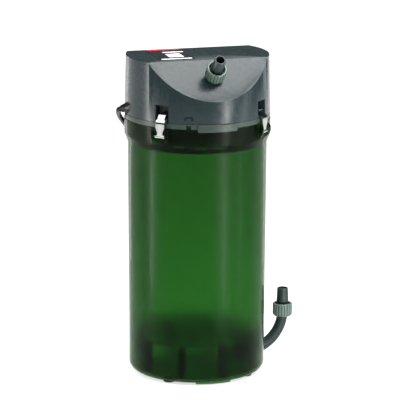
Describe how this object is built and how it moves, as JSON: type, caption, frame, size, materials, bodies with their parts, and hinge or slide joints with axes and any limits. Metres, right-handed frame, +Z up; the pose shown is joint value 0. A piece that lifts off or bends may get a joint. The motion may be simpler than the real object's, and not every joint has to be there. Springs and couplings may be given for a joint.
{
  "type": "canister filter",
  "caption": "External aquarium canister filter: a clear green canister with a hose elbow near its foot, and a clipped-on pump head with a slanted hose outlet.",
  "frame": {"origin": "centre of the canister's underside, level with the soles of the feet", "axes": "+Z up along the canister's axis, -Y out of the slanted front that carries the outlet, +X out over the inlet elbow"},
  "size_m": [0.1988, 0.2501, 0.3661],
  "materials": {
    "canister_green": "clear green moulded plastic, polished",
    "head_grey": "fine satin texture",
    "band_grey": "satin",
    "connector_grey": "satin",
    "nut_grey": "satin, ribbed",
    "screen_grey": "satin",
    "rubber_black": "matt",
    "label_black": "printed film, plain bars with no lettering",
    "steel": "bright sprung stainless strip",
    "copper": "enamelled winding wire",
    "ceramic_white": "ground ceramic",
    "impeller_white": "natural moulded plastic",
    "magnet_grey": "sintered ferrite",
    "resin_black": "cast resin",
    "lead_blue": "wire insulation",
    "lead_brown": "wire insulation",
    "cable_black": "smooth soft cable sheath"
  },
  "bodies": {
    "canister": {"canister_shell": "canister_green", "foot_1": "rubber_black", "foot_2": "rubber_black", "foot_3": "rubber_black", "foot_4": "rubber_black", "lower_screen": "screen_grey", "upper_screen": "screen_grey", "inlet_elbow": "connector_grey", "inlet_seal": "rubber_black", "inlet_locknut": "connector_grey", "power_cord": "cable_black", "cord_coil": "cable_black", "cord_tie": "rubber_black", "cord_tail": "cable_black", "mains_plug": "cable_black", "plug_pin_1": "steel", "plug_pin_2": "steel"},
    "head": {"head_base": "band_grey", "head_seal": "rubber_black", "head_cover": "head_grey", "label_plate": "label_black", "cover_screw_1": "steel", "cover_screw_2": "steel", "cover_screw_3": "steel", "cover_screw_4": "steel", "outlet_spigot": "connector_grey", "chamber_cover": "head_grey", "rotor_shaft": "ceramic_white", "shaft_bush_lower": "rubber_black", "shaft_bush_upper": "rubber_black", "stator_core": "steel", "stator_coil": "copper", "coil_flange_left": "impeller_white", "coil_flange_right": "impeller_white", "motor_potting": "resin_black", "motor_lead_1": "lead_blue", "motor_lead_2": "lead_brown", "cord_strain_relief": "cable_black"},
    "rotor": {"impeller": "impeller_white", "rotor_magnet": "magnet_grey"},
    "outlet_nut": {"outlet_hose_nut": "nut_grey"},
    "inlet_nut": {"inlet_hose_nut": "nut_grey"},
    "clip_front_left_arm": {"clip_front_left": "steel"},
    "clip_front_right_arm": {"clip_front_right": "steel"},
    "clip_back_right_arm": {"clip_back_right": "steel"},
    "clip_back_left_arm": {"clip_back_left": "steel"}
  },
  "joints": [
    {"name": "head_lift", "type": "slide", "parent": "canister", "child": "head", "axis": [0, 0, 1], "range_m": [0, 0.04]},
    {"name": "clip_front_left_hinge", "type": "hinge", "parent": "canister", "child": "clip_front_left_arm", "pos_m": [-0.05869, -0.05869, 0.2775], "axis": [0.7071, -0.7071, 0], "range_deg": [0, 120]},
    {"name": "clip_front_right_hinge", "type": "hinge", "parent": "canister", "child": "clip_front_right_arm", "pos_m": [0.05869, -0.05869, 0.2775], "axis": [0.7071, 0.7071, 0], "range_deg": [0, 120]},
    {"name": "clip_back_right_hinge", "type": "hinge", "parent": "canister", "child": "clip_back_right_arm", "pos_m": [0.05869, 0.05869, 0.2775], "axis": [-0.7071, 0.7071, 0], "range_deg": [0, 120]},
    {"name": "clip_back_left_hinge", "type": "hinge", "parent": "canister", "child": "clip_back_left_arm", "pos_m": [-0.05869, 0.05869, 0.2775], "axis": [-0.7071, -0.7071, 0], "range_deg": [0, 120]},
    {"name": "rotor_spin", "type": "hinge", "parent": "head", "child": "rotor", "pos_m": [0, 0, 0.29], "axis": [0, 0, 1], "continuous": true},
    {"name": "outlet_nut_turn", "type": "hinge", "parent": "head", "child": "outlet_nut", "pos_m": [0.0016, -0.057, 0.338], "axis": [0, -0.7071, 0.7071], "continuous": true},
    {"name": "inlet_nut_turn", "type": "hinge", "parent": "canister", "child": "inlet_nut", "pos_m": [0.1, 0, 0.06], "axis": [0, 0, 1], "continuous": true}
  ],
  "couplings": [
    {"joint": "clip_front_left_hinge", "follows": "head_lift", "rad_per_m": 52},
    {"joint": "clip_front_right_hinge", "follows": "head_lift", "rad_per_m": 52},
    {"joint": "clip_back_right_hinge", "follows": "head_lift", "rad_per_m": 52},
    {"joint": "clip_back_left_hinge", "follows": "head_lift", "rad_per_m": 52}
  ]
}
